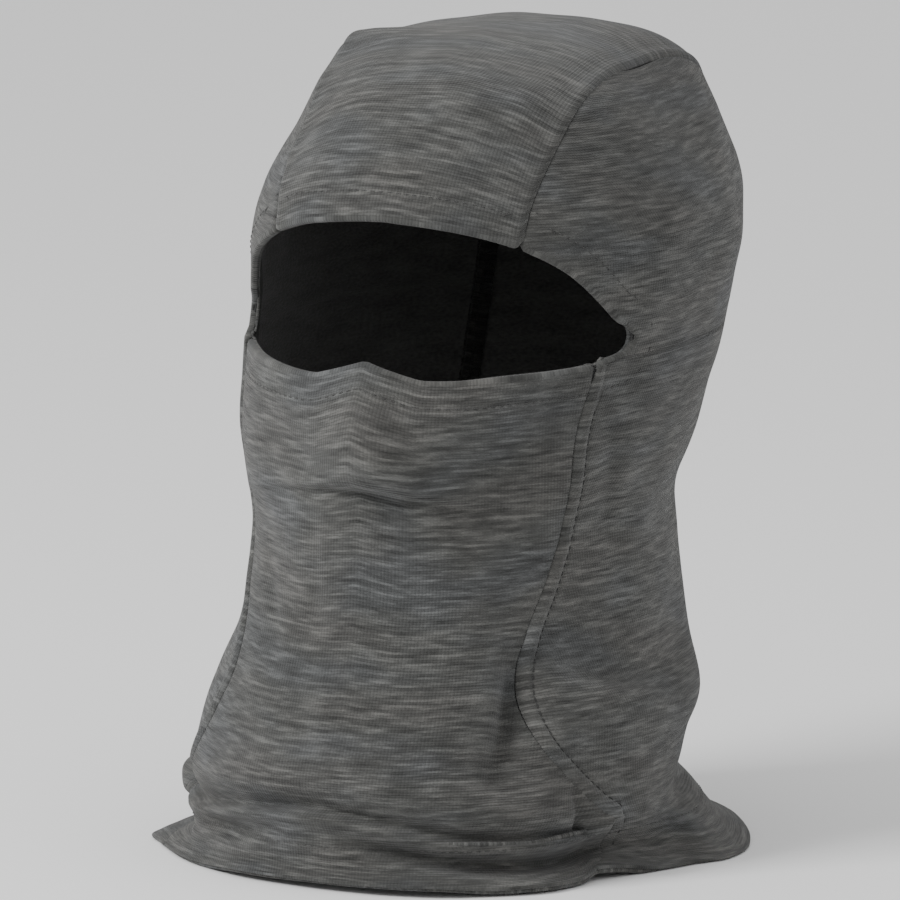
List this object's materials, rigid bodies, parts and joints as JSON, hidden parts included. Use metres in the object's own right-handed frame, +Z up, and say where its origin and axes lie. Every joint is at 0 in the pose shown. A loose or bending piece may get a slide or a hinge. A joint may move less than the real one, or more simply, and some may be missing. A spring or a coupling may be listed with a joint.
{
  "type": "knitted balaclava",
  "caption": "Close-fitting knitted hood with one wide eye opening, a face-and-neck panel sewn in with curved seams, and a flared hem.",
  "frame": {"origin": "centre of the bounding box's bottom, on the surface that the bottom hem rests on", "axes": "+Z up through the crown of the head, the face looks along -Y, +X is the wearer's left"},
  "size_m": [0.2, 0.2331, 0.2695],
  "materials": {
    "shell_fabric": "heathered grey jersey, brushed, matte",
    "seam_fabric": "raw jersey edges, overlocked",
    "thread": "dark grey polyester sewing thread",
    "elastic": "woven black elastic tape",
    "label": "plain satin tape, blank"
  },
  "bodies": {
    "root": {"crown_panel": "shell_fabric", "side_panel_left": "shell_fabric", "side_panel_right": "shell_fabric", "front_panel": "shell_fabric", "bottom_hem": "shell_fabric", "opening_facing": "shell_fabric", "crown_seam_allowance_left": "seam_fabric", "crown_seam_allowance_right": "seam_fabric", "front_seam_allowance_left": "seam_fabric", "front_seam_allowance_right": "seam_fabric", "crown_overlock_thread_left": "thread", "crown_overlock_thread_right": "thread", "front_overlock_thread_left": "thread", "front_overlock_thread_right": "thread", "front_topstitch_left": "thread", "front_topstitch_right": "thread", "opening_topstitch": "thread", "hem_topstitch": "thread", "opening_elastic": "elastic", "care_label": "label"}
  },
  "joints": []
}
